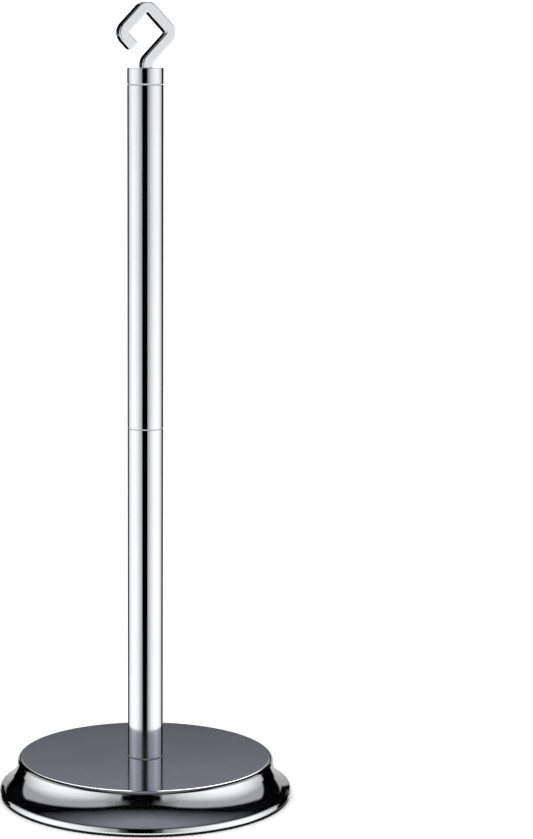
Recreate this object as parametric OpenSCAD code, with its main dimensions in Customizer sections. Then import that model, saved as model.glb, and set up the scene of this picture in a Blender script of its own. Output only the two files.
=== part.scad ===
// Free-standing roll stand: a weighted round base, a pole of two tubes that screw
// together, and a cap with an open diamond hook on top.
// Z is up and the stand rests on z = 0; the hook lies in the XZ plane.

/* [Base] */
// Diameter over the lower lip of the base
base_d = 199; // [195:0.2:204]
// Diameter of the flat top disc
disc_d = 170.8; // [168:0.2:173]
// Height of the top disc above the floor
base_h = 27; // [26:0.5:32]
// Thickness of the base sheet
shell_t = 1; // [0.8:0.1:1.2]
// Slope of the hollow curve where it meets the lip, in degrees from upright
lip_slope = 67; // [64:1:70]
// Thickness of the cast weight's disc
ballast_t = 4; // [3.5:0.5:6]
// Height of the pad's edge, which shows below the lip
pad_edge_t = 1.2; // [1:0.1:1.6]

/* [Pole] */
// Outer diameter of both tubes, the washers and the cap
pole_d = 24; // [23.5:0.1:26]
// Wall thickness of the tubes
tube_wall = 1; // [0.8:0.1:1.2]
// Length of each of the two tubes
tube_l = 225.5; // [150:0.5:300]
// Thickness of the washer under the pole
foot_washer_t = 0.8; // [0.6:0.1:1]
// Thickness of the washer between the two tubes
mid_washer_t = 0.5; // [0.3:0.1:0.8]
// Thickness of the washer under the cap
cap_washer_t = 0.7; // [0.4:0.1:1]

/* [Screw unions] */
// Thread diameter of the two pole unions
pole_thread = 8; // [8]
// Thread diameter of the hook's shank
hook_thread = 6; // [6]
// Radial play between a threaded end and its hole
thread_gap = 0.05; // [0.02:0.01:0.08]

/* [Cap and hook] */
// Height of the cap
cap_h = 10.4; // [10:0.2:16]
// Side of the square bar that the hook is bent from
bar = 7.1; // [6.2:0.1:8]
// Sideways reach of each arm of the diamond, on the bar's centre line
arm = 18.4; // [16:0.1:20]
// Height of the upright neck, on the bar's centre line
neck_h = 4.1; // [4:0.1:8]
// How far the neck stands off the pole's axis
neck_off = 0.3; // [0:0.1:0.6]
// Sideways run of the tail, on the bar's centre line
tail = 8.8; // [6:0.1:10]
// Radius of the bends on their outer side
bend_r = 8.6; // [6.5:0.1:9]

/* [Hidden] */
$fn = 96;
e = 0.5;                                // how far parts of one solid run into each other

// base, from the floor up
lip_r = base_d / 2;
lip_round = 2.4;                        // the lip is rolled over above and below
band_h = 1.4;                           // upright band between the two roundings
hem_w = 5.4;                            // width of the edge that is turned in below
hem_top = pad_edge_t + shell_t;
step_h = 1.1;                           // height of the disc's edge over the ledge round it
ledge_w = 1.8;
ledge_drop = 0.5;                       // the ledge falls this much outwards
edge_r = 0.4;                           // rounding of the disc's edge
rim_r = 0.5;                            // rounding of the ledge's rim
wall_r = disc_d / 2 + ledge_w;          // upright wall below the ledge
wall_z = base_h - 2.6;                  // where the wall runs into the hollow curve
plate_t = 1;
plate_r = lip_r - lip_round - 0.2;
ballast_r = 86;
boss_r = 16;
access_r = 15;                          // hole in plate and pad that leaves the bolt head free

// the bolt through the base
bolt_l = 35;
head_h = 5.3;
head_z = hem_top + plate_t + 0.7;
lock_t = 2;
washer_t = 1.6;
nut_h = 4;
hex_8 = 13;                             // across the flats, M8
hex_6 = 10;                             // across the flats, M6
seat_depth = 0.3;                       // the pole stands in a shallow pressed seat
seat_r = pole_d / 2 + 0.3;
seat_z = base_h - seat_depth;
pocket_z = head_z + head_h + lock_t + washer_t;
bolt_end = head_z + head_h + bolt_l;

// pole, from the base up
pole_r = pole_d / 2;
tube_r = pole_r - tube_wall;
insert_l = 14;
nut_room = 5.8;                         // recess in the foot insert, over the jam nut
foot_z = seat_z + foot_washer_t;
lower_end = foot_z + tube_l;
upper_z = lower_end + mid_washer_t;
upper_end = upper_z + tube_l;
cap_z = upper_end + cap_washer_t;
cap_end = cap_z + cap_h;
stud_l = 25;
stud_out = 12;                          // length of stud below the upper tube
cap_top_t = 1.6;
cap_wall = 2;
cap_lock_t = 1.6;
cap_nut_h = 5;
shank_l = cap_h + cap_washer_t + 9.5;

// ---- shared shapes ----

// points of an arc about c, from angle a1 to a2, in n steps
function arc(c, r, a1, a2, n) = [for (i = [0:n]) let (a = a1 + (a2 - a1) * i / n)
    c + r * [cos(a), sin(a)]];

// flat ring standing on z
module ring(z, r_out, r_in, h) {
    translate([0, 0, z]) difference() {
        cylinder(r = r_out, h = h);
        translate([0, 0, -e]) cylinder(r = r_in, h = h + 2 * e);
    }
}

// ring turned from a section whose four corners are cut back by c
module turned_ring(z, r_out, r_in, h, c) {
    translate([0, 0, z]) rotate_extrude()
        polygon([[r_in, 0], [r_out - c, 0], [r_out, c], [r_out, h - c], [r_out - c, h], [r_in, h]]);
}

// split lock washer: a ring with a slanted cut
module split_washer(z, r_out, r_in, h) {
    difference() {
        ring(z, r_out, r_in, h);
        translate([(r_out + r_in) / 2, 0, z + h / 2]) rotate([25, 0, 0])
            cube([r_out - r_in + 2, 1, 3 * h], center = true);
    }
}

// hexagon with its upper and lower corners turned off
module hexagon(z, flats, h) {
    corner = flats / 2 / cos(30);
    cut = corner - flats / 2;
    translate([0, 0, z]) intersection() {
        cylinder(r = corner, h = h, $fn = 6);
        rotate_extrude() polygon([[0, 0], [flats / 2, 0], [corner, cut * 0.6],
                                  [corner, h - cut * 0.6], [flats / 2, h], [0, h]]);
    }
}

module hex_nut(z, flats, h, thread) {
    difference() {
        hexagon(z, flats, h);
        translate([0, 0, z - e]) cylinder(d = thread + 2 * thread_gap, h = h + 2 * e);
    }
}

// threaded rod as a plain cylinder with a cut-back end; dir is 1 when the tip is at the top
module rod(z, d, l, dir) {
    tip = 0.8;
    translate([0, 0, z]) mirror([0, 0, dir > 0 ? 0 : 1]) rotate_extrude()
        polygon([[0, 0], [d / 2, 0], [d / 2, l - tip], [d / 2 - tip, l], [0, l]]);
}

// plug pressed into a tube, bored through for a thread
module insert(z, thread) {
    turned_ring(z, tube_r, thread / 2, insert_l, 0.6);
}

module tube(z) {
    turned = 0.25;
    translate([0, 0, z]) rotate_extrude()
        polygon([[tube_r, 0], [pole_r - turned, 0], [pole_r, turned],
                 [pole_r, tube_l - turned], [pole_r - turned, tube_l], [tube_r, tube_l]]);
}

// ---- base ----

// The hollow curve is part of an ellipse: upright at the wall and lip_slope at the lip.
// off moves the curve inwards along its normal, for the inner side of the sheet.
lip_low = [lip_r - lip_round, pad_edge_t + lip_round];
lip_c = lip_low + [0, band_h];
curve_end = lip_c + lip_round * [cos(lip_slope), sin(lip_slope)];
curve_dr = curve_end[0] - wall_r;
curve_dz = wall_z - curve_end[1];
curve_t = acos(1 / (tan(lip_slope) * curve_dz / curve_dr - 1));
curve_a = curve_dr / (1 - cos(curve_t));
curve_b = curve_dz / sin(curve_t);
function curve_normal(t) = let (n = [curve_b * cos(t), curve_a * sin(t)]) n / norm(n);
function curve(off, t) = [wall_r + curve_a * (1 - cos(t)), wall_z - curve_b * sin(t)]
    - off * curve_normal(t);

module base_shell() {
    steps = 16;
    disc_r = disc_d / 2;
    face_z = base_h - step_h;
    rim_z = face_z - ledge_drop;
    under = 0.76 * shell_t;             // upright offset to the inner side of the sloping ledge
    step = concat(
        arc([disc_r - edge_r, base_h - edge_r], edge_r, 90, 0, 4),
        [[disc_r, face_z]],
        arc([wall_r - rim_r, rim_z - rim_r], rim_r, 70, 0, 4));
    lip = concat(
        arc(lip_c, lip_round, lip_slope, 0, 8),
        arc(lip_low, lip_round, 0, -90, 8),
        [[lip_r - hem_w, pad_edge_t], [lip_r - hem_w, hem_top]],
        arc(lip_low, lip_round - shell_t, -90, 0, 4),
        arc(lip_c, lip_round - shell_t, 0, lip_slope, 4));
    color([0.55, 0.56, 0.60]) rotate_extrude($fn = 180) polygon(concat(
        [[pole_thread / 2 + 0.2, seat_z], [seat_r, seat_z], [seat_r, base_h]],
        step,
        [for (i = [0:steps - 1]) curve(0, curve_t * i / steps)],
        lip,
        [for (i = [steps - 1:-1:0]) curve(shell_t, curve_t * i / steps)],
        [[wall_r - shell_t, rim_z - under], [disc_r - shell_t, face_z - under],
         [disc_r - shell_t, base_h - shell_t], [seat_r + 1, base_h - shell_t],
         [seat_r + 1, seat_z - shell_t], [pole_thread / 2 + 0.2, seat_z - shell_t]]));
}

// cast disc with a boss up to the shell and six ribs between them
module ballast_disc() {
    z = hem_top + plate_t;
    top = seat_z - shell_t;
    color([0.22, 0.22, 0.23]) {
        difference() {
            union() {
                rotate_extrude() polygon([[0, z], [ballast_r - 1, z], [ballast_r, z + 1],
                    [ballast_r, z + ballast_t - 1], [ballast_r - 1, z + ballast_t],
                    [boss_r + 3, z + ballast_t], [boss_r, z + ballast_t + 3],
                    [boss_r - 1, top], [0, top]]);
                for (i = [0:5]) rotate([90, 0, 60 * i]) translate([0, 0, -2])
                    linear_extrude(4) polygon([[boss_r - 4, z + e], [76, z + e],
                        [76, z + ballast_t + 1], [boss_r - 4, top - 6]]);
            }
            translate([0, 0, z - e]) cylinder(r = 12, h = pocket_z - z + e);
            translate([0, 0, z]) cylinder(r = pole_thread / 2 + 0.3, h = base_h);
        }
    }
}

module bottom_plate() {
    color([0.60, 0.61, 0.62]) ring(hem_top, plate_r, access_r, plate_t);
}

// moulded ring: its middle reaches up inside the hem, its edge lies under the hem
module anti_slip_pad() {
    middle_r = lip_r - hem_w - 0.3;
    color([0.09, 0.09, 0.09]) rotate_extrude() polygon([
        [access_r + 2, 0], [lip_r - 1, 0], [lip_r - 0.6, 0.4], [lip_r - 0.6, pad_edge_t],
        [middle_r, pad_edge_t], [middle_r, hem_top], [access_r + 2, hem_top]]);
}

module base_bolt() {
    color([0.66, 0.66, 0.64]) union() {
        hexagon(head_z, hex_8, head_h);
        rod(head_z + head_h - e, pole_thread, bolt_l + e, 1);
    }
}

module bolt_lock_washer() {
    color([0.45, 0.45, 0.44]) split_washer(head_z + head_h, 7.4, 4.15, lock_t);
}

module bolt_washer() {
    color([0.70, 0.70, 0.68]) ring(head_z + head_h + lock_t, 8, 4.2, washer_t);
}

module nut_washer() {
    color([0.70, 0.70, 0.68]) ring(seat_z, 8, 4.2, washer_t);
}

module base_nut() {
    color([0.66, 0.66, 0.64]) hex_nut(seat_z + washer_t, hex_8, nut_h, pole_thread);
}

// ---- pole ----

module foot_washer() {
    color([0.10, 0.10, 0.11]) ring(seat_z, pole_r, 9, foot_washer_t);
}

module lower_tube() {
    color([0.80, 0.81, 0.83]) tube(foot_z);
}

// plug with a wide recess below, over the jam nut, and a threaded hole above it
module lower_foot_insert() {
    thread_z = foot_z + nut_room;
    color([0.62, 0.60, 0.52]) difference() {
        turned_ring(foot_z, tube_r, pole_thread / 2 + thread_gap, nut_room + insert_l, 0.6);
        translate([0, 0, foot_z - e]) cylinder(r = 8.6, h = thread_z - foot_z + e);
    }
}

module lower_top_insert() {
    color([0.62, 0.60, 0.52]) insert(lower_end - insert_l, pole_thread + 2 * thread_gap);
}

module mid_washer() {
    color([0.75, 0.75, 0.74]) ring(lower_end, pole_r - 0.3, 6, mid_washer_t);
}

module upper_tube() {
    color([0.80, 0.81, 0.83]) tube(upper_z);
}

module upper_foot_plug() {
    color([0.62, 0.60, 0.52]) insert(upper_z, pole_thread);
}

// set screw fixed in the upper tube's plug; its socket is in the free lower end
module joint_stud() {
    color([0.30, 0.30, 0.31]) difference() {
        rod(upper_z - stud_out + stud_l, pole_thread, stud_l, -1);
        translate([0, 0, upper_z - stud_out - e]) cylinder(d = 4 / cos(30), h = 4 + e, $fn = 6);
    }
}

module upper_top_insert() {
    color([0.62, 0.60, 0.52]) insert(upper_end - insert_l, hook_thread + 2 * thread_gap);
}

// ---- finial ----

module cap_washer() {
    color([0.75, 0.75, 0.74]) ring(upper_end, pole_r - 0.4, 6, cap_washer_t);
}

module top_cap() {
    r_in = pole_r - cap_wall;
    roof = cap_h - cap_top_t;
    c = 0.4;
    color([0.80, 0.81, 0.83]) translate([0, 0, cap_z]) rotate_extrude() polygon([
        [hook_thread / 2 + 0.1, roof], [r_in, roof], [r_in, 0], [pole_r - c, 0], [pole_r, c],
        [pole_r, cap_h - c], [pole_r - c, cap_h], [hook_thread / 2 + 0.1, cap_h]]);
}

module cap_lock_washer() {
    color([0.45, 0.45, 0.44])
        split_washer(cap_end - cap_top_t - cap_lock_t, 5.9, 3.1, cap_lock_t);
}

module cap_nut() {
    color([0.66, 0.66, 0.64])
        hex_nut(cap_end - cap_top_t - cap_lock_t - cap_nut_h, hex_6, cap_nut_h, hook_thread);
}

// Centre line of the bar, in the hook's plane, from the cap up and round to the tail.
bar_path = [for (p = [[0, 0], [0, neck_h], [arm, neck_h + arm], [0, neck_h + 2 * arm],
                      [-arm, neck_h + arm], [tail - arm, neck_h + arm - tail]])
    p + [neck_off, 0]];
bar_bends = len(bar_path) - 2;
inner_bend_r = 0.8;

function direction(i) = let (d = bar_path[i + 1] - bar_path[i]) d / norm(d);
function left_of(d) = [-d[1], d[0]];

// corner i of one edge of the bar, side 1 on the left of the path and -1 on the right
function edge_corner(i, side) = let (m = left_of(direction(i - 1)), n = left_of(direction(i)))
    bar_path[i] + side * bar / 2 * (m + n) / (1 + m * n);

// that corner rounded: the bend's outer side takes bend_r and its inner side a small radius
function bend(i, side) = let (
        m = left_of(direction(i - 1)),
        n = left_of(direction(i)),
        turn = atan2(m[0] * n[1] - m[1] * n[0], m * n),
        outer = sign(turn) != side,
        r = outer ? bend_r : inner_bend_r,
        to_centre = (outer ? -side : side) * r,
        c = edge_corner(i, side) + to_centre * (m + n) / (1 + m * n),
        a = atan2(m[1], m[0]) + (to_centre > 0 ? 180 : 0),
        steps = outer ? 10 : 3)
    arc(c, r, a, a + turn, steps);

module hook() {
    left = [for (i = [1:bar_bends]) each bend(i, 1)];
    right = [for (i = [bar_bends:-1:1]) let (b = bend(i, -1))
        each [for (j = [len(b) - 1:-1:0]) b[j]]];
    last = bar_bends + 1;
    end_n = left_of(direction(last - 1)) * bar / 2;
    color([0.84, 0.84, 0.86]) translate([0, 0, cap_end]) union() {
        rotate([90, 0, 0]) translate([0, 0, -bar / 2]) linear_extrude(bar)
            polygon(concat([[neck_off - bar / 2, 0]], left,
                           [bar_path[last] + end_n, bar_path[last] - end_n],
                           right, [[neck_off + bar / 2, 0]]));
        rod(e, hook_thread, shank_l + e, -1);
    }
}

base_shell();
ballast_disc();
bottom_plate();
anti_slip_pad();
base_bolt();
bolt_lock_washer();
bolt_washer();
nut_washer();
base_nut();
foot_washer();
lower_tube();
lower_foot_insert();
lower_top_insert();
mid_washer();
upper_tube();
upper_foot_plug();
joint_stud();
upper_top_insert();
cap_washer();
top_cap();
hook();
cap_lock_washer();
cap_nut();
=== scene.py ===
"""Free-standing roll stand with an open diamond hook: the looks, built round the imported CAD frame.

Sizes are in millimetres until skin() makes a mesh, which is in metres. Every piece is a closed skin
of rings: rows of points that run round the Z axis, or round the bar that the hook is bent from.
"""

import math
from math import cos, pi, radians, sin, tan

import bmesh
import bpy
from mathutils import Matrix, Vector


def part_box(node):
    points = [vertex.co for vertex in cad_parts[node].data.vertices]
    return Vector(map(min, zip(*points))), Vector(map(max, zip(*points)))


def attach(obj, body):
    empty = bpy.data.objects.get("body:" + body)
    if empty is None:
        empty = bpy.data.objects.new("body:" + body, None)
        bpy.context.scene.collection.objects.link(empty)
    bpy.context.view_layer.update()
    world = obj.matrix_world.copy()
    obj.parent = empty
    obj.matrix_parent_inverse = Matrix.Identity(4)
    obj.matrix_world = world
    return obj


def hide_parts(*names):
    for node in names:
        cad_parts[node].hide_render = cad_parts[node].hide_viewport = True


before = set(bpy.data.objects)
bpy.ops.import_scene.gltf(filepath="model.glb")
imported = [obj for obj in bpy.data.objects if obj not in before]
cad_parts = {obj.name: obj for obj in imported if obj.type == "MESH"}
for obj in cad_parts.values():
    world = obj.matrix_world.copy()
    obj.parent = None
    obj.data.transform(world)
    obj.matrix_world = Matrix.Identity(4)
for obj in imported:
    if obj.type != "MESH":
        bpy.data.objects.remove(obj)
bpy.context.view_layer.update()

MM = 0.001
FINE = 288  # points round a chromed, turned piece
COARSE = 144  # points round a hidden one
SMOOTH_BELOW = radians(28)  # edges that turn more than this are kept sharp

CAMERA_AZIMUTH = -24  # degrees, 0 looks along +Y
CAMERA_HEIGHT = 0.490
CAMERA_DISTANCE = 1.616  # from the pole's axis, along the floor
CAMERA_TILT = 10.1  # degrees below the horizon
CAMERA_LENS = 104.8
CAMERA_SHIFT = (0.1443, 0.0995)


# ---- sections ----


def extent(node):
    """(lowest z, highest z, outer radius) of a CAD node, in mm."""
    low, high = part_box(node)
    return low[2] / MM, high[2] / MM, (high[0] - low[0]) / 2 / MM


def filleted(corners, step=15):
    """Points of a closed outline, its corners (r, z, radius) rounded by an arc point every step degrees."""
    points = []
    for i, (r, z, radius) in enumerate(corners):
        here = Vector((r, z))
        before = Vector(corners[i - 1][:2]) - here
        after = Vector(corners[(i + 1) % len(corners)][:2]) - here
        before.normalize()
        after.normalize()
        half = before.angle(after) / 2
        if radius == 0 or half > radians(89.5):
            points.append((r, z))
            continue
        centre = here + (before + after).normalized() * radius / sin(half)
        start = here + before * radius / tan(half) - centre
        turn = start.angle_signed(here + after * radius / tan(half) - centre)
        count = max(3, round(math.degrees(abs(turn)) / step))
        for k in range(count + 1):
            spoke = start.copy()
            spoke.rotate(Matrix.Rotation(-turn * k / count, 2))
            points.append(tuple(centre + spoke))
    return points


def turned_rings(rows, segments):
    """Rings about the Z axis. A row is (r, z), or a function of the angle that gives it."""
    rings = []
    for row in rows:
        ring = []
        for k in range(segments):
            angle = 2 * pi * k / segments
            r, z = row(angle) if callable(row) else row
            ring.append((r * cos(angle), r * sin(angle), z))
        rings.append(ring)
    return rings


# ---- meshes ----


def skin(name, rings, loop):
    """Mesh object through the rings. With loop the last ring joins the first, else both ends are closed."""
    verts, rows, faces = [], [], []
    for ring in rings:
        flat = max((Vector(p) - Vector(ring[0])).length for p in ring) < 1e-6
        rows.append([len(verts)] * len(ring) if flat else range(len(verts), len(verts) + len(ring)))
        verts += ring[:1] if flat else ring
    pairs = list(zip(rows, rows[1:])) + ([(rows[-1], rows[0])] if loop else [])
    for low, high in pairs:
        for k in range(len(low)):
            n = (k + 1) % len(low)
            corners = [low[k], low[n], high[n], high[k]]
            face = [c for i, c in enumerate(corners) if c != corners[i - 1]]
            if len(face) > 2:
                faces.append(face)
    if not loop:
        for row, back in ((rows[0], True), (rows[-1], False)):
            if row[0] != row[1]:
                faces.append(list(reversed(row)) if back else list(row))
    mesh = bpy.data.meshes.new(name)
    mesh.from_pydata([(x * MM, y * MM, z * MM) for x, y, z in verts], [], faces)
    mesh.validate()
    return placed(name, mesh)


def placed(name, mesh):
    """Object for the mesh: faces outwards, smooth but for sharp edges, flat faces kept flat."""
    shaped = bmesh.new()
    shaped.from_mesh(mesh)
    bmesh.ops.recalc_face_normals(shaped, faces=shaped.faces)
    shaped.to_mesh(mesh)
    shaped.free()
    mesh.polygons.foreach_set("use_smooth", [True] * len(mesh.polygons))
    mesh.set_sharp_from_angle(angle=SMOOTH_BELOW)
    piece = bpy.data.objects.new(name, mesh)
    bpy.context.scene.collection.objects.link(piece)
    weighted = piece.modifiers.new("weighted_normals", "WEIGHTED_NORMAL")
    weighted.keep_sharp = True
    weighted.weight = 90
    return piece


def stand_in(piece, node, body, finish):
    """The piece takes a CAD node's place on its body, with the given finish."""
    piece.data.materials.append(finish)
    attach(piece, body)
    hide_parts(node)
    return piece


def turned(name, rows, segments=COARSE):
    """Piece turned about the Z axis from a closed section, solid if its rows start and end on the axis."""
    solid = not callable(rows[0]) and rows[0][0] == 0
    return skin(name, turned_rings(rows, segments), loop=not solid)


# ---- shared details ----


def thread_row(radius, pitch, z, limit):
    """Row of a right-hand 60 degree thread at height z. limit is how far out the row may reach."""
    depth = 0.541 * pitch

    def row(angle):
        turn = (z / pitch - angle / (2 * pi)) % 1
        from_crest = 1 - abs(2 * turn - 1)
        cut = min(1, max(0, (from_crest - 0.125) / 0.625))
        return min(limit, radius - depth * cut), z

    return row


def threaded_rows(radius, pitch, z_from, z_to):
    """Rows of an outer thread, its last turn cut back by a chamfer at z_to."""
    step = pitch / 10
    count = max(1, round(abs(z_to - z_from) / step))
    chamfer = 0.7 * pitch
    rows = []
    for k in range(count + 1):
        z = z_from + (z_to - z_from) * k / count
        rows.append(thread_row(radius, pitch, z, radius - max(0, chamfer - abs(z_to - z))))
    return rows


def hex_row(flats, z_face, side, inset):
    """Row where a hexagon's turned-off corners end. side is 1 under a top face and -1 over a bottom one."""

    def row(angle):
        r = flats / 2 / cos(angle % (pi / 3) - pi / 6)
        return r, z_face - side * (inset + (r - flats / 2) * 0.55)

    return row


def hex_rows(flats, z_low, z_high):
    """Rows up the outside of a hexagon head or nut, from its lower face to its upper one."""
    face_r = flats / 2 - 0.35
    inset = 0.15
    return [
        (face_r, z_low),
        hex_row(flats, z_low, -1, inset),
        hex_row(flats, z_high, 1, inset),
        (face_r, z_high),
    ]


def washer(name, node, inner, soft=0.12):
    """Flat washer with rounded edges, between a node's two faces."""
    low, high, outer = extent(node)
    return turned(
        name,
        filleted([(inner, low, soft), (outer, low, soft), (outer, high, soft), (inner, high, soft)], 30),
    )


def split_washer(name, node, inner):
    """Lock washer: a chamfered square wire bent to a ring, its ends cut aslant and slightly sprung."""
    low, high, outer = extent(node)
    gap, slant, spring, soft = 0.5, 0.6, 0.12, 0.2
    middle_r = (inner + outer) / 2
    section = filleted([(inner, low, soft), (outer, low, soft), (outer, high, soft), (inner, high, soft)], 30)
    rings = []
    count = 96
    for k in range(count + 1):
        share = k / count
        ring = []
        for r, z in section:
            upness = (z - low) / (high - low) - 0.5
            ends = (1 - 2 * share) * gap / middle_r
            lean = slant * upness / middle_r * (2 * abs(share - 0.5)) ** 8
            angle = 2 * pi * share + ends - lean
            rise = spring * (share - 0.5) * (2 * abs(share - 0.5)) ** 6
            z_sprung = min(high, max(low, z + rise))
            ring.append((r * cos(angle), r * sin(angle), z_sprung))
        rings.append(ring)
    return skin(name, rings, loop=False)


# ---- base ----

LIP_SLOPE = radians(64)
SHEET = 1.0


def base_shell():
    """Spun cover: flat disc with a pressed seat, a rounded edge, a hollow curve and a lip hemmed below."""
    low, high, lip_r = extent("base_shell")
    foot_low, _, foot_r = extent("foot_washer")
    disc_r, rim, rim_z, wall_z = 86.0, 87.2, high - 2.0, high - 2.5
    edge_round, rim_round, lip_round = 2.6, 0.4, 1.8
    hole, seat_r = 4.2, foot_r + 0.3
    lip_low = Vector((lip_r - lip_round, low + lip_round))
    lip_c = Vector((lip_r - lip_round, low + 3.7))
    hem_r = lip_r - 5.4
    curve_end = lip_c + lip_round * Vector((cos(LIP_SLOPE), sin(LIP_SLOPE)))
    across, down = curve_end.x - rim, wall_z - curve_end.y
    last = math.acos(1 / (tan(LIP_SLOPE) * down / across - 1))
    a, b = across / (1 - cos(last)), down / sin(last)

    def hollow(offset, count):
        """The part of an ellipse between wall and lip, offset inwards along its normal."""
        points = []
        for k in range(count):
            t = last * k / count
            normal = Vector((b * cos(t), a * sin(t))).normalized()
            edge = Vector((rim + a * (1 - cos(t)), wall_z - b * sin(t)))
            points.append(tuple(edge - offset * normal))
        return points

    def roll(centre, radius, start, end, count):
        turns = [start + (end - start) * k / count for k in range(count + 1)]
        return [(centre.x + radius * cos(t), centre.y + radius * sin(t)) for t in turns]

    corners = [(hole, foot_low, 0.1), (seat_r, foot_low, 0.12), (seat_r, high, 0.12)]
    corners += [(disc_r, high, edge_round), (rim, rim_z, rim_round), (rim, wall_z, 0), (foot_r, low, 0)]
    top = filleted(corners, 10)[:-2]
    hem = [(hem_r + 0.2, low), (hem_r, low + 0.2), (hem_r, low + SHEET - 0.2), (hem_r + 0.2, low + SHEET)]
    # inner side of the sheet, from the flank over the rounded edge to the seat
    inside = [
        (rim - SHEET, rim_z - 0.4 * SHEET),
        (disc_r - 1.6 * SHEET, high - SHEET),
        (seat_r + SHEET, high - SHEET),
        (seat_r + SHEET, foot_low - SHEET),
        (hole, foot_low - SHEET),
    ]
    rows = top + hollow(0, 72)
    rows += roll(lip_c, lip_round, LIP_SLOPE, 0, 20) + roll(lip_low, lip_round, 0, -pi / 2, 24) + hem
    rows += roll(lip_low, lip_round - SHEET, -pi / 2, 0, 8) + roll(lip_c, lip_round - SHEET, 0, LIP_SLOPE, 8)
    rows += hollow(SHEET, 24)[::-1] + inside
    return turned("base_cover", rows, FINE)


def ballast_disc():
    """Cast weight: disc, boss and six ribs fused by a fine remesh, which leaves soft corners."""
    low, high, outer = extent("ballast_disc")
    _, pocket_top, _ = extent("bolt_washer")
    plate, boss, bore, pocket = 4, 16, 4.3, 12
    draft, rib_end, rib_half = 1, 76, 2
    core = turned(
        "cast_weight",
        [(bore, pocket_top), (pocket, pocket_top), (pocket, low), (outer - draft, low), (outer, low + draft)]
        + [(outer, low + plate - draft), (outer - draft, low + plate), (boss + 3, low + plate)]
        + [(boss, low + plate + 3), (boss - draft, high), (bore, high)],
        FINE,
    )
    verts, faces = [], []
    for k in range(6):
        turn = Matrix.Rotation(k * pi / 3, 3, "Z")
        outline = [(boss - 3, low + 1), (rib_end, low + 1), (rib_end, low + plate + 1), (boss - 3, high - 6)]
        start = len(verts)
        for side in (-rib_half, rib_half):
            verts += [tuple(turn @ Vector((r, side, z)) * MM) for r, z in outline]
        faces += [[start + 3, start + 2, start + 1, start], [start + 4, start + 5, start + 6, start + 7]]
        for i in range(4):
            n = (i + 1) % 4
            faces.append([start + i, start + n, start + 4 + n, start + 4 + i])
    ribs = bpy.data.meshes.new("ribs")
    ribs.from_pydata(verts, [], faces)
    holder = bpy.data.objects.new("ribs", ribs)
    bpy.context.scene.collection.objects.link(holder)
    holder.hide_render = True
    core.modifiers.clear()
    fused = core.modifiers.new("ribs", "BOOLEAN")
    fused.operation = "UNION"
    fused.object = holder
    cast = core.modifiers.new("cast", "REMESH")
    cast.mode = "VOXEL"
    cast.voxel_size = 0.8 * MM
    cast.use_smooth_shade = True
    worn = core.modifiers.new("soft_corners", "SMOOTH")
    worn.iterations = 4
    made = bpy.data.meshes.new_from_object(core.evaluated_get(bpy.context.evaluated_depsgraph_get()))
    core.modifiers.clear()
    core.data = made
    bpy.data.objects.remove(holder)
    return core


def bottom_plate():
    """Pressed steel plate with a stiffening bead and a turned hole for the bolt head."""
    low, high, outer = extent("bottom_plate")
    hole, bead_r, bead_half, bead_up = 15, 91, 2.5, 0.6

    def beaded(z, sign):
        radii = [hole + 0.2, bead_r - bead_half]
        radii += [bead_r + bead_half * (k / 8 - 1) for k in range(1, 16)]
        radii += [bead_r + bead_half, outer - 0.2]
        rows = []
        for r in radii:
            share = max(0, 1 - ((r - bead_r) / bead_half) ** 2)
            rows.append((r, z + bead_up * share**2))
        return rows[::sign]

    rows = [(hole, low + 0.2)] + beaded(low, 1) + [(outer, low + 0.2), (outer, high - 0.2)]
    rows += beaded(high, -1) + [(hole, high - 0.2)]
    return turned("closing_plate", rows, COARSE)


def anti_slip_pad():
    """Moulded rubber ring: ribbed grip rings below, each broken by short gaps, and a plain edge."""
    low, high, outer = extent("anti_slip_pad")
    hole, edge_z, middle = 17, low + 1.2, outer - 5.1
    first, last, ring_pitch, depth = 24, 90, 6, 0.6
    breaks = 24

    def grip(r):
        """Underside row: a groove between two grip rings, filled at every other break."""
        phase = ((r - first) % ring_pitch) / ring_pitch
        groove = max(0, sin(2 * pi * phase)) ** 0.5
        number = int((r - first) // ring_pitch)

        def row(angle):
            place = (angle * breaks / (2 * pi) + 0.5 * (number % 2)) % 1
            bridge = min(1, max(0, (abs(place - 0.5) - 0.40) * 25))
            return r, low + depth * groove * (1 - bridge)

        return row

    under = [grip(first + k * 0.5) for k in range(int((last - first) / 0.5) + 1)]
    rows = [(hole, low + 0.5), (hole + 0.5, low), (first - 0.5, low)] + under
    rows += filleted([(last + 2, low, 0), (outer, low, 0.5), (outer, edge_z, 0.15), (middle, edge_z, 0)], 15)
    rows += [(middle, high - 0.2), (middle - 0.2, high), (hole + 0.3, high), (hole, high - 0.3)]
    return turned("grip_pad", rows, FINE)


def base_bolt():
    """Hexagon bolt M8, its thread running to just above the lock washer."""
    low, high, _ = extent("base_bolt")
    _, washer_top, _ = extent("bolt_washer")
    head_top, _, _ = extent("bolt_lock_washer")
    dimple = [(0, low + 0.5), (3.6, low + 0.5), (3.9, low)]
    rows = dimple + hex_rows(13, low, head_top) + [(4.3, head_top), (4, head_top + 0.3)]
    rows += [(4, washer_top - 0.2)] + threaded_rows(4, 1.25, washer_top, high)
    rows += [(2.6, high), (0, high)]
    return turned("base_bolt_m8", rows)


def nut(name, node, flats, radius, pitch):
    """Hexagon nut with a countersunk, threaded hole."""
    low, high, _ = extent(node)
    sink = 0.4
    rows = [(radius + sink, low)] + hex_rows(flats, low, high) + [(radius + sink, high)]
    rows += bore_rows(radius, pitch, high, low, sink)
    return turned(name, rows)


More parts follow.
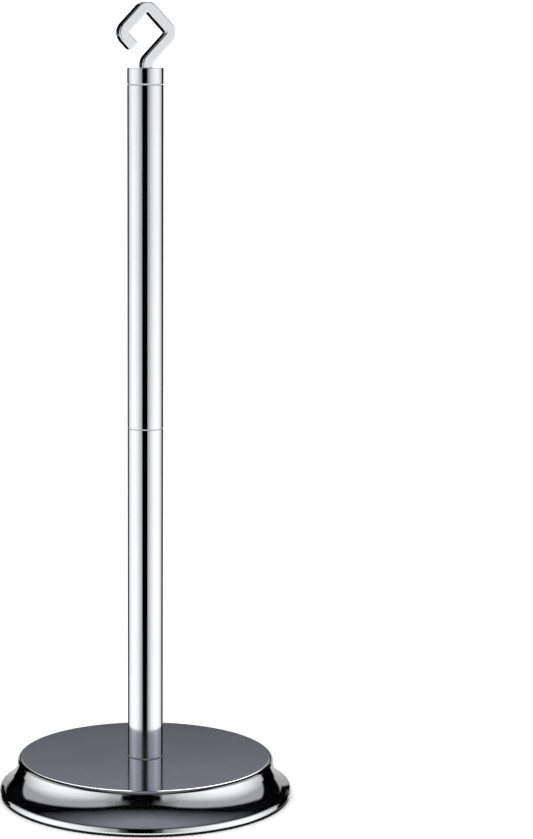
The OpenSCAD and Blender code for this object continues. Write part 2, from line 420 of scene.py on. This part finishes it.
def bore_rows(radius, pitch, z_from, z_to, sink):
    """Rows down a hole with a thread cut outwards from its bore and a countersink at each end."""
    step = pitch / 8
    down = -1 if z_to < z_from else 1
    start, end = z_from + down * sink, z_to - down * sink
    count = max(1, round(abs(end - start) / step))
    rows = []
    for k in range(count + 1):
        z = start + (end - start) * k / count
        groove = thread_row(0, pitch, z, 0)
        rows.append(lambda angle, z=z, groove=groove: (radius - 0.6 * groove(angle)[0], z))
    return rows


# ---- pole ----


def tube(name, node):
    """Chromed tube with lightly broken outer edges and deburred inner ones."""
    low, high, outer = extent(node)
    inner = outer - 1
    return turned(
        name,
        filleted([(inner, low, 0.1), (outer, low, 0.25), (outer, high, 0.25), (inner, high, 0.1)], 15),
        FINE,
    )


def knurl_row(outer, z):
    """Row of a straight knurl, whose ridges reach the tube's wall."""
    ridges, depth = 48, 0.25

    def row(angle):
        return outer - depth * (1 - abs(cos(ridges * angle / 2))), z

    return row


def insert(name, node, hole_rows):
    """Plug pressed into a tube: knurled over most of its length, with turned-back ends."""
    low, high, outer = extent(node)
    back, plain = 0.6, 2.5
    root = outer - 0.25
    rows = [(outer - back - 0.05, low), (root, low + back), (root, low + plain - 0.3)]
    rows += [knurl_row(outer, low + plain), knurl_row(outer, high - plain)]
    rows += [(root, high - plain + 0.3), (root, high - back), (outer - back - 0.05, high)]
    return turned(name, rows + hole_rows, FINE)


def foot_insert():
    """The pole's foot plug, with a wide recess over the jam nut below its thread."""
    low, high, _ = extent("lower_foot_insert")
    recess, recess_top, bore, sink = 8.6, low + 5.8, 4.05, 0.4
    hole = [(bore + sink, high)] + bore_rows(bore, 1.25, high, recess_top, sink)
    hole += [(bore + sink, recess_top), (recess, recess_top), (recess, low + 0.3), (recess + 0.3, low)]
    return insert("pole_foot_plug", "lower_foot_insert", hole)


def plain_insert(name, node, bore, pitch):
    low, high, _ = extent(node)
    sink = 0.4
    hole = [(bore + sink, high)] + bore_rows(bore, pitch, high, low, sink) + [(bore + sink, low)]
    return insert(name, node, hole)


def joint_stud():
    """Set screw M8 with a hexagon socket in its free lower end."""
    low, high, outer = extent("joint_stud")
    socket, depth = 4, 4

    def socket_row(z):
        return lambda angle: (socket / 2 / cos(angle % (pi / 3) - pi / 6), z)

    rows = [(0, low + depth + 0.8), (socket / 2 * 0.98, low + depth), socket_row(low + depth)]
    rows += [socket_row(low + 0.25), (socket / 2 + 0.6, low)]
    rows += threaded_rows(outer, 1.25, high - 1, low)[::-1] + threaded_rows(outer, 1.25, high - 1, high)[1:]
    rows += [(2.6, high), (0, high)]
    return turned("joint_set_screw", rows)


# ---- finial ----


def top_cap():
    """Turned cap, hollow below, with broken edges and a clearance hole for the hook's shank."""
    low, high, outer = extent("top_cap")
    inner, roof, hole, edge = outer - 2, high - 1.6, 3.1, 0.4
    rows = filleted(
        [(hole, roof, 0.1), (inner, roof, 0.4), (inner, low, 0.15), (outer, low, edge)]
        + [(outer, high, edge), (hole, high, 0.1)],
        10,
    )
    return turned("pole_cap", rows, FINE)


BAR = 7.1
BEND_OUT, BEND_IN = 8.6, 0.8
BAR_EDGE = 0.9
BAR_PATH = [(0.3, 0), (0.3, 4.1), (18.7, 22.5), (0.3, 40.9), (-18.1, 22.5), (-9.3, 13.7)]


def bar_section(inset=0.0):
    """Points round the square bar as (left, back) of its centre line, with rounded edges."""
    half = BAR / 2
    soft = BAR_EDGE - inset
    size = half - inset
    points = []
    for k in range(4):
        turn = Matrix.Rotation(k * pi / 2, 2)
        for i in range(7):
            t = pi / 2 * i / 6
            points.append(turn @ Vector((size - soft + soft * cos(t), size - soft + soft * sin(t))))
        for i in range(1, 8):
            points.append(turn @ Vector((size - soft - 2 * (size - soft) * i / 8, size)))
    return points


def left_of(direction):
    return Vector((-direction.y, direction.x))


def bar_stations():
    """(left edge point, right edge point, direction) along the bar, both edges following the same bends."""
    path = [Vector(p) for p in BAR_PATH]
    ways = [(b - a).normalized() for a, b in zip(path, path[1:])]
    offset = BAR / 2
    stations = [(path[0] + left_of(ways[0]) * offset, path[0] - left_of(ways[0]) * offset, ways[0])]
    for i in range(1, len(path) - 1):
        m, n = left_of(ways[i - 1]), left_of(ways[i])
        turn = math.atan2(m.x * n.y - m.y * n.x, m.dot(n))
        steps = max(8, round(math.degrees(abs(turn)) / 5))
        spread = (m + n) / (1 + m.dot(n))
        edges = []
        for side in (1, -1):
            outside = (turn > 0) != (side > 0)
            to_centre = (-side if outside else side) * (BEND_OUT if outside else BEND_IN)
            centre = path[i] + spread * (side * offset + to_centre)
            edges.append((centre, -to_centre))
        for k in range(steps + 1):
            swung = m.copy()
            swung.rotate(Matrix.Rotation(turn * k / steps, 2))
            points = [centre + swung * reach for centre, reach in edges]
            stations.append((points[0], points[1], Vector((swung.y, -swung.x))))
    end = left_of(ways[-1]) * offset
    stations.append((path[-1] + end, path[-1] - end, ways[-1]))
    return stations


def bar_ring(station, inset, back, base_z):
    """Ring of the bar's section at a station, set back along the bar and shrunk by inset."""
    left, right, way = station
    middle, half = (left + right) / 2 - way * back, (left - right) / 2
    ring = []
    for p in bar_section(inset):
        in_plane = middle + half * p.x / (BAR / 2)
        ring.append((in_plane.x, p.y, base_z + in_plane.y))
    return ring


def hook():
    """Square bar bent to an open diamond; its lower end is turned down to a threaded shank."""
    low, _, _ = extent("hook")
    _, cap_top, _ = extent("top_cap")
    shank_r, pitch, plain_z = 3, 1.0, cap_top - 2
    stations = bar_stations()
    angles = [math.atan2(y, x) for x, y, _ in bar_ring(stations[0], 0, 0, 0)]

    def round_ring(row):
        ring = []
        for angle in angles:
            r, z = row(angle) if callable(row) else row
            ring.append((r * cos(angle), r * sin(angle), z))
        return ring

    rows = [(0, low), (2.2, low)] + threaded_rows(shank_r, pitch, plain_z, low)[::-1]
    rows += [(shank_r, plain_z + 0.2), (shank_r, cap_top)]
    rings = [round_ring(row) for row in rows]
    edge = 0.3
    for k in range(4):
        t = pi / 2 * k / 3
        start = stations[0]
        rings.append(bar_ring(start, edge * (1 - sin(t)), -edge * (1 - cos(t)), cap_top))
    rings += [bar_ring(s, 0, 0, cap_top) for s in stations[1:-1]]
    for k in range(6):
        t = pi / 2 * k / 5
        rings.append(bar_ring(stations[-1], BAR_EDGE * 0.9 * (1 - cos(t)), BAR_EDGE * (1 - sin(t)), cap_top))
    return skin("bent_hook", rings, loop=False)


# ---- materials ----

# Density of the polishing lines: across the rings of a turned piece, round them and up.
RING_GRAIN = (900, 1.5, 300)
POLE_GRAIN = (60, 2, 8)
BAR_GRAIN = (300, 2, 300)

POLE_PLATING = ((0.95, 0.955, 0.965), (0.91, 0.915, 0.93))  # its bright and dim colours


class Finish:
    """A material whose Principled shader is fed by a few procedural nodes."""

    def __init__(self, name, **sockets):
        self.material = bpy.data.materials.new(name)
        self.material.use_nodes = True
        self.nodes = self.material.node_tree.nodes
        self.links = self.material.node_tree.links
        self.shader = self.nodes["Principled BSDF"]
        for socket, value in sockets.items():
            self.shader.inputs[socket.replace("_", " ")].default_value = value
        self.place = self.nodes.new("ShaderNodeTexCoord").outputs["Object"]

    def vector(self, operation, source, *constants):
        node = self.nodes.new("ShaderNodeVectorMath")
        node.operation = operation
        self.links.new(source, node.inputs[0])
        for socket, value in zip(node.inputs[1:], constants):
            socket.default_value = value
        return node.outputs

    def flat(self):
        """Object coordinates without their height."""
        return self.vector("MULTIPLY", self.place, (1, 1, 0))[0]

    def radius(self):
        """Distance from the Z axis."""
        return self.vector("LENGTH", self.flat())["Value"]

    def apart(self, source):
        """The X, Y and Z sockets of a vector."""
        node = self.nodes.new("ShaderNodeSeparateXYZ")
        self.links.new(source, node.inputs[0])
        return node.outputs

    def height(self):
        return self.apart(self.place)["Z"]

    def polar(self, rings, around, up):
        """Coordinates that follow the turning of a piece: across its rings, round them and up."""
        round_way = self.apart(self.vector("NORMALIZE", self.flat())[0])["X"]
        joined = self.nodes.new("ShaderNodeCombineXYZ")
        for socket, source, scale in (
            ("X", self.radius(), rings),
            ("Y", round_way, around),
            ("Z", self.height(), up),
        ):
            scaled = self.nodes.new("ShaderNodeMath")
            scaled.operation = "MULTIPLY"
            scaled.inputs[1].default_value = scale
            self.links.new(source, scaled.inputs[0])
            self.links.new(scaled.outputs[0], joined.inputs[socket])
        return joined.outputs[0]

    def noise(self, scale, detail=4.0, roughness=0.5, place=None):
        node = self.nodes.new("ShaderNodeTexNoise")
        node.inputs["Scale"].default_value = scale
        node.inputs["Detail"].default_value = detail
        node.inputs["Roughness"].default_value = roughness
        self.links.new(place or self.place, node.inputs["Vector"])
        return node.outputs["Fac"]

    def cells(self, scale, feature="F1"):
        node = self.nodes.new("ShaderNodeTexVoronoi")
        node.feature = feature
        node.inputs["Scale"].default_value = scale
        self.links.new(self.place, node.inputs["Vector"])
        return node.outputs["Distance"]

    def spread(self, source, low, high, bottom=0.3, top=0.7):
        """The source's bottom..top range mapped to low..high."""
        node = self.nodes.new("ShaderNodeMapRange")
        for socket, value in (("From Min", bottom), ("From Max", top), ("To Min", low), ("To Max", high)):
            node.inputs[socket].default_value = value
        self.links.new(source, node.inputs["Value"])
        return node.outputs["Result"]

    def product(self, a, b):
        node = self.nodes.new("ShaderNodeMath")
        node.operation = "MULTIPLY"
        self.links.new(a, node.inputs[0])
        self.links.new(b, node.inputs[1])
        return node.outputs[0]

    def total(self, a, b):
        node = self.nodes.new("ShaderNodeMath")
        node.operation = "ADD"
        self.links.new(a, node.inputs[0])
        self.links.new(b, node.inputs[1])
        return node.outputs[0]

    def colour(self, source, *stops):
        """Base colour from a ramp: stops are (place, (red, green, blue))."""
        ramp = self.nodes.new("ShaderNodeValToRGB")
        elements = ramp.color_ramp.elements
        while len(elements) < len(stops):
            elements.new(0.5)
        for element, (place, rgb) in zip(elements, stops):
            element.position = place
            element.color = (*rgb, 1)
        self.links.new(source, ramp.inputs["Fac"])
        self.links.new(ramp.outputs["Color"], self.shader.inputs["Base Color"])
        return self

    def tinted(self, where, rgb):
        """Multiply the base colour by rgb where the mask is 1."""
        base = self.shader.inputs["Base Color"]
        node = self.nodes.new("ShaderNodeMix")
        node.data_type = "RGBA"
        node.blend_type = "MULTIPLY"
        self.links.new(where, node.inputs["Factor"])
        self.links.new(base.links[0].from_socket, node.inputs["A"])
        node.inputs["B"].default_value = (*rgb, 1)
        self.links.new(node.outputs["Result"], base)

    def polished(self, low, high, place, more=None):
        """Gloss that varies along polishing lines and from cloud to cloud; more is added to the roughness."""
        lines = self.noise(1, 3, 0.6, self.polar(*place))
        gloss = self.spread(self.product(lines, self.noise(30, 2)), low, high, 0.12, 0.4)
        return self.rough(self.total(gloss, more) if more else gloss)

    def rough(self, source):
        self.links.new(source, self.shader.inputs["Roughness"])
        return self

    def bump(self, height, distance, strength=1.0):
        node = self.nodes.new("ShaderNodeBump")
        node.inputs["Strength"].default_value = strength
        node.inputs["Distance"].default_value = distance * MM
        self.links.new(height, node.inputs["Height"])
        self.links.new(node.outputs["Normal"], self.shader.inputs["Normal"])
        return self


def plating(name, bright, dim):
    """Chrome plating with a faint cloudiness in its colour."""
    finish = Finish(name, Metallic=1.0)
    return finish.colour(finish.noise(14, 3), (0.35, dim), (0.65, bright))


def pole_chrome(name, grain):
    return plating(name, *POLE_PLATING).polished(0.02, 0.06, grain).material


def foot_chrome():
    """The pole's plating, softer near the foot, so that the base's reflection fades out there."""
    finish = plating("foot_chrome", *POLE_PLATING)
    faded = finish.spread(finish.height(), 0.09, 0, 40 * MM, 64 * MM)
    return finish.polished(0.02, 0.06, POLE_GRAIN, faded).material


def hook_chrome():
    finish = plating("hook_chrome", (0.93, 0.935, 0.95), (0.89, 0.895, 0.91))
    return finish.polished(0.06, 0.12, BAR_GRAIN).material


def chrome_with_painted_disc_reflection():
    """The base's plating: bright on curve and lip, a little softer on the flat disc, whose colour is tinted
    darker and bluer as a painted reflection of the grey ceiling.
    """
    finish = plating("base_chrome", (0.90, 0.905, 0.92), (0.86, 0.865, 0.88))
    on_disc = finish.spread(finish.radius(), 1, 0, 84.0 * MM, 84.5 * MM)
    # painted reflection: the flat disc's colour is darkened and blued to stand for the grey ceiling it
    # mirrors
    finish.tinted(on_disc, (0.57, 0.59, 0.70))
    return finish.polished(0.04, 0.07, RING_GRAIN, finish.spread(on_disc, 0, 0.04, 0, 1)).material


def cast_iron():
    finish = Finish("cast_iron", Metallic=0.6)
    grain = finish.noise(900, 8, 0.7)
    finish.colour(grain, (0.3, (0.02, 0.02, 0.021)), (0.6, (0.055, 0.054, 0.053)), (0.8, (0.10, 0.09, 0.08)))
    finish.rough(finish.spread(grain, 0.45, 0.8))
    return finish.bump(grain, 0.35, 0.8).material


def plate_steel():
    """Zinc-coated sheet with its spangle."""
    finish = Finish("plate_steel", Metallic=1.0)
    spangle = finish.cells(160)
    finish.colour(spangle, (0.1, (0.42, 0.43, 0.45)), (0.6, (0.60, 0.61, 0.62)))
    finish.rough(finish.spread(spangle, 0.30, 0.48, 0.1, 0.7))
    return finish.bump(finish.noise(400, 4), 0.02, 0.4).material


def pad_rubber():
    finish = Finish("pad_rubber", Specular_IOR_Level=0.15)
    grain = finish.noise(1200, 5, 0.6)
    finish.colour(finish.noise(60, 3), (0.3, (0.003, 0.003, 0.0033)), (0.7, (0.008, 0.008, 0.0084)))
    finish.rough(finish.spread(grain, 0.62, 0.85))
    return finish.bump(grain, 0.06, 0.6).material


def zinc_steel():
    """Bright zinc plating, faintly bluish and clouded by handling."""
    finish = Finish("zinc_steel", Metallic=1.0)
    cloud = finish.noise(180, 5)
    finish.colour(cloud, (0.3, (0.50, 0.52, 0.56)), (0.7, (0.68, 0.69, 0.71)))
    finish.rough(finish.spread(cloud, 0.20, 0.38))
    return finish.bump(finish.noise(1500, 3), 0.01, 0.5).material


def spring_steel():
    finish = Finish("spring_steel", Metallic=0.9)
    scale = finish.noise(400, 6)
    finish.colour(scale, (0.3, (0.07, 0.075, 0.09)), (0.7, (0.20, 0.20, 0.21)))
    finish.rough(finish.spread(scale, 0.32, 0.55))
    return finish.bump(scale, 0.02, 0.5).material


def nylon(name, dark, light):
    finish = Finish(name, Subsurface_Weight=0.05)
    grain = finish.noise(700, 4)
    finish.colour(finish.noise(120, 3), (0.3, dark), (0.7, light))
    finish.rough(finish.spread(grain, 0.42, 0.58))
    return finish.bump(grain, 0.02, 0.5).material


def insert_steel():
    """Free-cutting steel straight from the lathe: fine turning lines round the piece."""
    finish = Finish("insert_steel", Metallic=1.0)
    lines = finish.noise(1, 2, 0.5, finish.polar(4000, 3, 4000))
    finish.colour(lines, (0.3, (0.45, 0.43, 0.38)), (0.7, (0.62, 0.60, 0.54)))
    finish.rough(finish.spread(lines, 0.22, 0.42))
    return finish.bump(lines, 0.01, 0.5).material


def black_steel():
    finish = Finish("black_steel", Metallic=0.8)
    film = finish.noise(300, 5)
    finish.colour(film, (0.3, (0.018, 0.018, 0.020)), (0.75, (0.060, 0.058, 0.055)))
    finish.rough(finish.spread(film, 0.34, 0.52))
    return finish.material


# ---- setting ----


# The room below is fitted to the brightness that the photographed chrome shows by mirrored direction.
ROOM_TURN = 3.5  # degrees between the room's front and the camera
CEILING_TINT = (0.93, 0.97, 1.12, 1)
GROUND_WHITE = (0.90, 0.90, 0.90, 1)
EVEN_LIGHT = (1.30, 1.30, 1.30, 1)


class Studio:
    """World shader by direction. Across is the angle from the camera's side, 0 to 180, and up the height."""

    def __init__(self):
        self.world = bpy.data.worlds.new("studio")
        self.world.use_nodes = True
        self.nodes = self.world.node_tree.nodes
        self.links = self.world.node_tree.links

    def put(self, socket, value):
        if isinstance(value, bpy.types.NodeSocket):
            self.links.new(value, socket)
        else:
            socket.default_value = value

    def math(self, operation, a, b=0.0):
        node = self.nodes.new("ShaderNodeMath")
        node.operation = operation
        self.put(node.inputs[0], a)
        self.put(node.inputs[1], b)
        return node.outputs[0]

    def ramp(self, value, start, end, low, high, interpolation="LINEAR"):
        """Line from low to high as the value goes from start to end."""
        node = self.nodes.new("ShaderNodeMapRange")
        node.interpolation_type = interpolation
        sockets = ("Value", "From Min", "From Max", "To Min", "To Max")
        for socket, given in zip(sockets, (value, start, end, low, high)):
            self.put(node.inputs[socket], given)
        return node.outputs["Result"]

    def ease(self, value, start, end, low=0.0, high=1.0):
        """Smooth step from low to high as the value goes from start to end."""
        return self.ramp(value, start, end, low, high, "SMOOTHSTEP")

    def steps(self, value, *stops):
        """Value of a line through stops (angle, level), for angles from 0 to 180 degrees."""
        node = self.nodes.new("ShaderNodeValToRGB")
        elements = node.color_ramp.elements
        while len(elements) < len(stops):
            elements.new(0.5)
        for element, (angle, level) in zip(elements, stops):
            element.position = angle / 180
            element.color = (level, level, level, 1)
        self.links.new(self.math("DIVIDE", value, 180), node.inputs["Fac"])
        return node.outputs["Color"]

    def heights(self, value, *stops):
        """Line through stops (angle, height in degrees)."""
        line = self.steps(value, *((angle, height / 90) for angle, height in stops))
        return self.math("MULTIPLY", line, 90)

    def mix(self, factor, a, b, blend="MIX"):
        node = self.nodes.new("ShaderNodeMix")
        node.data_type = "RGBA"
        node.blend_type = blend
        self.put(node.inputs["Factor"], factor)
        self.put(node.inputs["A"], a)
        self.put(node.inputs["B"], b)
        return node.outputs["Result"]


def directions(room):
    """Angle from the camera's side and height above the horizon of what is mirrored, in degrees."""
    place = room.nodes.new("ShaderNodeTexCoord")
    turned_to = room.nodes.new("ShaderNodeVectorRotate")
    turned_to.rotation_type = "Z_AXIS"
    turned_to.inputs["Angle"].default_value = radians(ROOM_TURN - CAMERA_AZIMUTH)
    room.links.new(place.outputs["Generated"], turned_to.inputs["Vector"])
    way = room.nodes.new("ShaderNodeSeparateXYZ")
    room.links.new(turned_to.outputs[0], way.inputs[0])
    aside = room.math("ABSOLUTE", way.outputs["X"])
    ahead = room.math("MULTIPLY", way.outputs["Y"], -1.0)
    across = room.math("DEGREES", room.math("ARCTAN2", aside, ahead))
    up = room.math("DEGREES", room.math("ARCSINE", way.outputs["Z"]))
    return across, up


def flags(room, across, up):
    """0 where black cloth hangs: round the camera, with a softer edge high up and low down, and behind."""
    sharp = room.steps(across, (16, 0), (19, 1))
    soft = room.steps(across, (9, 0), (34, 1))
    softened = room.math("ADD", room.ease(up, -4, 14), room.ease(up, -12, -16, 0, 0.6))
    widened = room.math("ADD", across, room.ease(up, -8, -3, 0, 4))
    behind = room.steps(widened, (129.5, 1), (132, 0), (156, 0), (159.5, 1))
    return room.math("MULTIPLY", room.mix(softened, sharp, soft), behind)


def lit_walls(room, across, up):
    """White side walls, brightest at the sides and low down, cut off by a curved upper edge."""
    glow = room.steps(
        room.math("ADD", up, 90),
        (70, 0.82),
        (80, 0.73),
        (86, 0.645),
        (90, 0.62),
        (97.5, 0.42),
        (107.5, 0.15),
        (112.5, 0.05),
        (117, 0),
    )
    shade = room.steps(
        across,
        (26, 0.61),
        (33, 0.46),
        (41, 0.315),
        (48, 0.215),
        (64, 0.06),
        (79, 0),
        (94, 0.06),
        (102, 0.16),
        (109, 0.25),
        (116, 0.38),
        (130, 0.60),
    )
    wall = room.math("ADD", room.math("MAXIMUM", room.math("SUBTRACT", glow, shade), 0), 0.38)
    top_edge = room.heights(
        across,
        (16, 19),
        (34, 28.5),
        (45, 32.5),
        (60, 36),
        (79, 37.3),
        (94, 36.3),
        (109, 33),
        (132, 24),
        (150, 24),
        (157, 8),
    )
    softness = room.ease(across, 130, 155, 3.5, 1.5)
    over = room.math("DIVIDE", room.math("SUBTRACT", up, top_edge), softness)
    unflagged = flags(room, across, up)
    return room.math("MULTIPLY", room.math("MULTIPLY", wall, unflagged), room.ease(over, -1, 1, 1, 0))


def lamps_behind(room, across, up):
    """Dim card behind the stand, mirrored by the disc, and above it the lamp that lines its edge."""
    card = room.math("MULTIPLY", room.ramp(up, 12.8, 20, 0, 0.50), room.ease(up, 45, 75, 1, 0))
    lamp = room.math("MULTIPLY", room.ramp(up, 25, 29, 0, 2.4), room.ease(up, 46, 58, 1, 0))
    return room.math("MULTIPLY", room.math("ADD", card, lamp), room.ease(across, 160, 166))


def ceiling(room, across, up):
    """Bluish grey that grows from a curved lower edge towards the zenith."""
    start = room.heights(
        across,
        (0, 33),
        (20, 34),
        (34, 38),
        (49, 43),
        (79, 48),
        (109, 49.5),
        (131, 45),
        (154, 41),
    )
    end = room.heights(across, (0, 75), (49, 82), (109, 80), (131, 76), (154, 70))
    return room.mix(1.0, CEILING_TINT, room.ramp(up, start, end, 0, 0.235), "MULTIPLY")


def light_room():
    """The room that metal mirrors, with a white ground; all other light comes evenly from every side."""
    room = Studio()
    across, up = directions(room)
    lit = room.math("ADD", lit_walls(room, across, up), lamps_behind(room, across, up))
    mirrored = room.mix(1.0, lit, ceiling(room, across, up), "ADD")
    ground = room.ease(across, 60, 125, -28, -45)
    under = room.ease(room.math("SUBTRACT", up, ground), 4, -4)
    mirrored = room.mix(under, mirrored, GROUND_WHITE)

    rays = room.nodes.new("ShaderNodeLightPath")
    shown = room.mix(rays.outputs["Is Glossy Ray"], EVEN_LIGHT, mirrored)
    background = room.nodes["Background"]
    room.links.new(shown, background.inputs["Color"])
    background.inputs["Strength"].default_value = 1.0
    bpy.context.scene.world = room.world


def lay_floor():
    """Large matte floor, which polished metal doesn't mirror: the room's own white stands for it."""
    half = 6.0
    corners = [(-half, -half, 0), (half, -half, 0), (half, half, 0), (-half, half, 0)]
    mesh = bpy.data.meshes.new("floor")
    mesh.from_pydata(corners, [], [(0, 1, 2, 3)])
    floor = bpy.data.objects.new("floor", mesh)
    bpy.context.scene.collection.objects.link(floor)
    finish = Finish("floor_paper", Roughness=1.0, Specular_IOR_Level=0.0)
    finish.shader.inputs["Base Color"].default_value = (0.93, 0.93, 0.93, 1)
    mesh.materials.append(finish.material)
    floor.visible_glossy = False


def set_camera():
    azimuth = radians(CAMERA_AZIMUTH)
    data = bpy.data.cameras.new("camera")
    data.lens = CAMERA_LENS
    data.shift_x, data.shift_y = CAMERA_SHIFT
    data.clip_start, data.clip_end = 0.05, 50
    camera = bpy.data.objects.new("camera", data)
    camera.location = (CAMERA_DISTANCE * sin(azimuth), -CAMERA_DISTANCE * cos(azimuth), CAMERA_HEIGHT)
    camera.rotation_euler = (radians(90 - CAMERA_TILT), 0, azimuth)
    bpy.context.scene.collection.objects.link(camera)
    bpy.context.scene.camera = camera


# ---- the stand ----

zinc = zinc_steel()
spring = spring_steel()
pale_nylon = nylon("pale_nylon", (0.50, 0.50, 0.49), (0.62, 0.62, 0.60))
foot_nylon = nylon("foot_nylon", (0.13, 0.13, 0.14), (0.22, 0.22, 0.23))
machined = insert_steel()

stand_in(base_shell(), "base_shell", "base", chrome_with_painted_disc_reflection())
stand_in(ballast_disc(), "ballast_disc", "base", cast_iron())
stand_in(bottom_plate(), "bottom_plate", "base", plate_steel())
stand_in(anti_slip_pad(), "anti_slip_pad", "base", pad_rubber())
stand_in(base_bolt(), "base_bolt", "base", zinc)
stand_in(
    split_washer("bolt_spring_washer", "bolt_lock_washer", 4.15),
    "bolt_lock_washer",
    "base",
    spring,
)
stand_in(washer("bolt_flat_washer", "bolt_washer", 4.2), "bolt_washer", "base", zinc)
stand_in(washer("nut_flat_washer", "nut_washer", 4.2), "nut_washer", "base", zinc)
stand_in(nut("base_jam_nut", "base_nut", 13, 4.05, 1.25), "base_nut", "base", zinc)

stand_in(washer("foot_gasket", "foot_washer", 9), "foot_washer", "foot_ring", foot_nylon)
stand_in(tube("pole_lower", "lower_tube"), "lower_tube", "lower_pole", foot_chrome())
stand_in(foot_insert(), "lower_foot_insert", "lower_pole", machined)
stand_in(
    plain_insert("pole_lower_plug", "lower_top_insert", 4.05, 1.25),
    "lower_top_insert",
    "lower_pole",
    machined,
)
stand_in(washer("mid_gasket", "mid_washer", 6), "mid_washer", "mid_ring", pale_nylon)
stand_in(
    tube("pole_upper", "upper_tube"),
    "upper_tube",
    "upper_pole",
    pole_chrome("tube_chrome",
    POLE_GRAIN),
)
stand_in(
    plain_insert("pole_joint_plug", "upper_foot_plug", 4.05, 1.25),
    "upper_foot_plug",
    "upper_pole",
    machined,
)
stand_in(joint_stud(), "joint_stud", "upper_pole", black_steel())
stand_in(
    plain_insert("pole_top_plug", "upper_top_insert", 3.05, 1.0),
    "upper_top_insert",
    "upper_pole",
    machined,
)
stand_in(washer("cap_gasket", "cap_washer", 6), "cap_washer", "cap_ring", pale_nylon)
stand_in(top_cap(), "top_cap", "finial", pole_chrome("cap_chrome", RING_GRAIN))
stand_in(hook(), "hook", "finial", hook_chrome())
stand_in(
    split_washer("cap_spring_washer", "cap_lock_washer", 3.1),
    "cap_lock_washer",
    "finial",
    spring,
)
stand_in(nut("cap_hex_nut", "cap_nut", 10, 3.05, 1.0), "cap_nut", "finial", zinc)

lay_floor()
light_room()
set_camera()
bpy.context.scene.view_settings.view_transform = "Standard"
